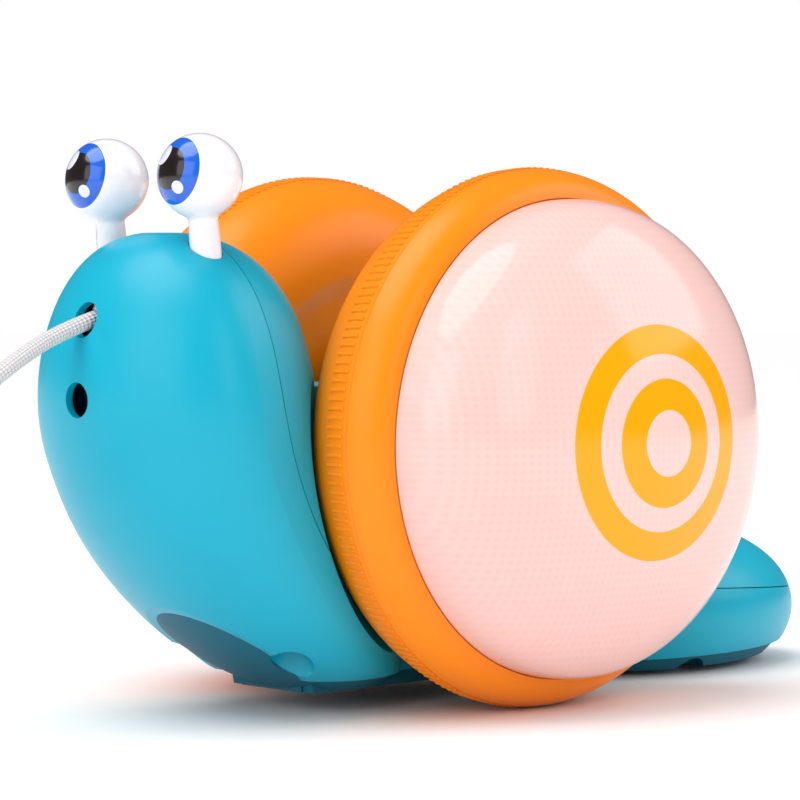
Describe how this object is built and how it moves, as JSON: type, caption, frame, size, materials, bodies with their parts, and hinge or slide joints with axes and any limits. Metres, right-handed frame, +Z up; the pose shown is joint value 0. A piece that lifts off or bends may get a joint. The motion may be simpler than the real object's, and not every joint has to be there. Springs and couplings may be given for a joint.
{
  "type": "pull along toy",
  "caption": "Pull-along snail toy: hollow two-shell body between two big wheels with bulging translucent domes, stalk eyes and a braided pull cord.",
  "frame": {"origin": "on the floor under the middle of the toy's length and width, its cord left out", "axes": "+X the way the snail looks, +Y to its left along the axle, +Z up"},
  "size_m": [0.3211, 0.1434, 0.117],
  "materials": {
    "teal_shell": "moulded ABS, satin gloss",
    "base_teal": "moulded ABS, fine texture",
    "orange_wheel": "moulded ABS, satin gloss",
    "dome": "clear-coated translucent polystyrene with a printed target",
    "eye_white": "moulded white ABS with a printed eye",
    "steel": "zinc plated steel",
    "white_plastic": "natural nylon",
    "black_plastic": "black ABS",
    "circuit_green": "glass-epoxy laminate",
    "cell_label": "plain wrapped cell",
    "cord_white": "braided polyester cord"
  },
  "bodies": {
    "body": {"front_shell": "teal_shell", "back_shell": "teal_shell", "base_plate": "base_teal", "battery_door": "base_teal", "battery_door_screw": "steel", "case_screws": "steel", "nose_screw": "steel", "left_eye": "eye_white", "right_eye": "eye_white", "roller_pin": "steel", "roller_cheeks": "base_teal", "power_switch_body": "black_plastic", "left_retainer": "white_plastic", "right_retainer": "white_plastic", "left_light_board": "circuit_green", "right_light_board": "circuit_green", "axle_tube": "steel", "batteries": "cell_label", "battery_cradle": "black_plastic", "battery_contacts": "steel", "circuit_board": "circuit_green", "speaker": "black_plastic", "cord": "cord_white", "cord_coil": "cord_white", "cord_knot": "cord_white", "pull_bead": "orange_wheel", "cord_end_knot": "cord_white"},
    "left_wheel_body": {"left_wheel": "orange_wheel", "left_dome": "dome"},
    "right_wheel_body": {"right_wheel": "orange_wheel", "right_dome": "dome"},
    "roller_body": {"tail_roller": "black_plastic"},
    "switch_knob_body": {"power_switch_knob": "black_plastic"}
  },
  "joints": [
    {"name": "left_wheel_spin", "type": "hinge", "parent": "body", "child": "left_wheel_body", "pos_m": [0.01076, 0, 0.056], "axis": [0, 1, 0], "continuous": true},
    {"name": "right_wheel_spin", "type": "hinge", "parent": "body", "child": "right_wheel_body", "pos_m": [0.01076, 0, 0.056], "axis": [0, 1, 0], "continuous": true},
    {"name": "tail_roller_spin", "type": "hinge", "parent": "body", "child": "roller_body", "pos_m": [-0.05724, 0, 0.005], "axis": [0, 1, 0], "continuous": true},
    {"name": "power_switch_slide", "type": "slide", "parent": "body", "child": "switch_knob_body", "axis": [1, 0, 0], "range_m": [0, 0.003]}
  ]
}
